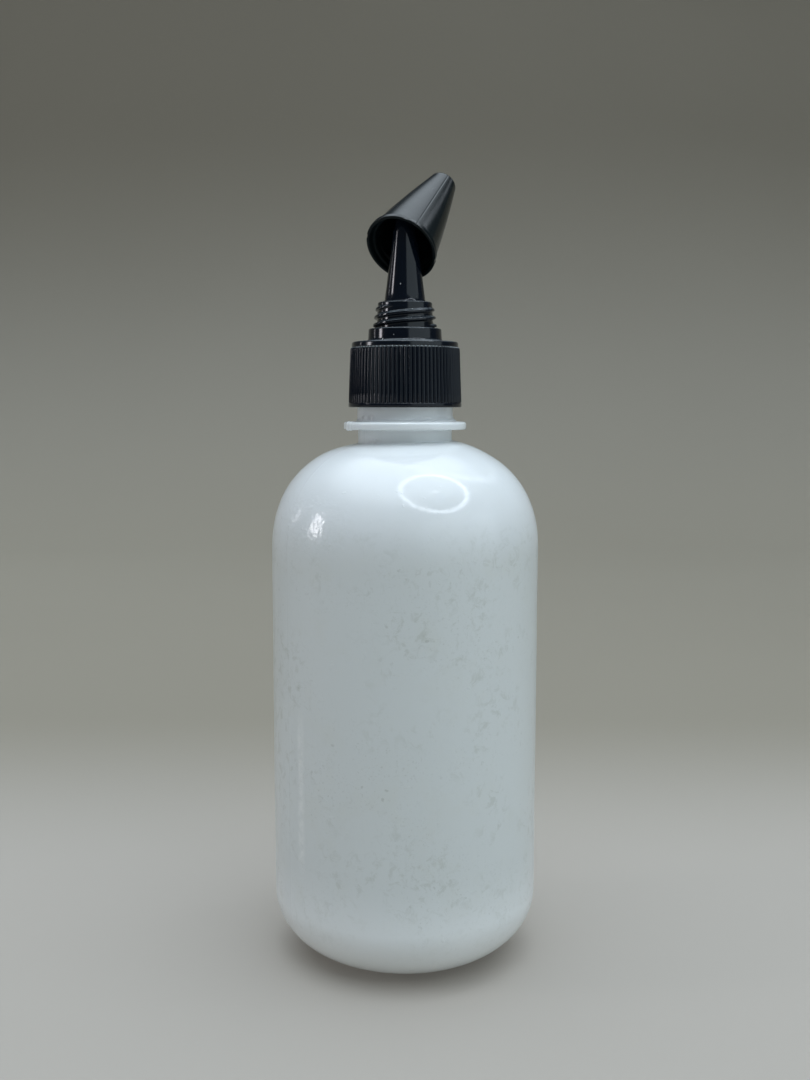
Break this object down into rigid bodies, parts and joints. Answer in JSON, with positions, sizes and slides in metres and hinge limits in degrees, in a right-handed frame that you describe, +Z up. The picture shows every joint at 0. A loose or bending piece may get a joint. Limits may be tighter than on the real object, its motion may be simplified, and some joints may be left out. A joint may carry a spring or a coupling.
{
  "type": "glue applicator bottle",
  "caption": "Round squeeze bottle with a ribbed screw closure, a long conical dispensing nozzle and a hollow conical overcap resting askew on the nozzle's tip.",
  "frame": {"origin": "centre of the base's standing plane, on the bottle's axis", "axes": "+Z up along the bottle's axis from base to nozzle; +X to the right and +Y away from the viewer when the overcap leans right and back"},
  "size_m": [0.0734, 0.0734, 0.2195],
  "materials": {
    "bottle_hdpe": "satin, glossier on the shoulder",
    "liner_foam": "matt foam",
    "closure_black": "gloss",
    "overcap_black": "gloss"
  },
  "bodies": {
    "bottle": {"bottle": "bottle_hdpe"},
    "liner": {"closure_liner": "liner_foam"},
    "closure": {"nozzle_closure": "closure_black"},
    "overcap": {"overcap": "overcap_black"}
  },
  "joints": [
    {"name": "closure_rise", "type": "slide", "parent": "bottle", "child": "liner", "axis": [0, 0, 1], "range_m": [0, 0.00636]},
    {"name": "closure_turn", "type": "hinge", "parent": "liner", "child": "closure", "pos_m": [0, 0, 0.16], "axis": [0, 0, 1], "range_deg": [0, 540]},
    {"name": "overcap_lift_off", "type": "slide", "parent": "closure", "child": "overcap", "axis": [0.3709, 0.6703, 0.6428], "range_m": [0, 0.045]}
  ],
  "couplings": [
    {"joint": "closure_rise", "follows": "closure_turn", "m_per_rad": 0.00067376}
  ]
}
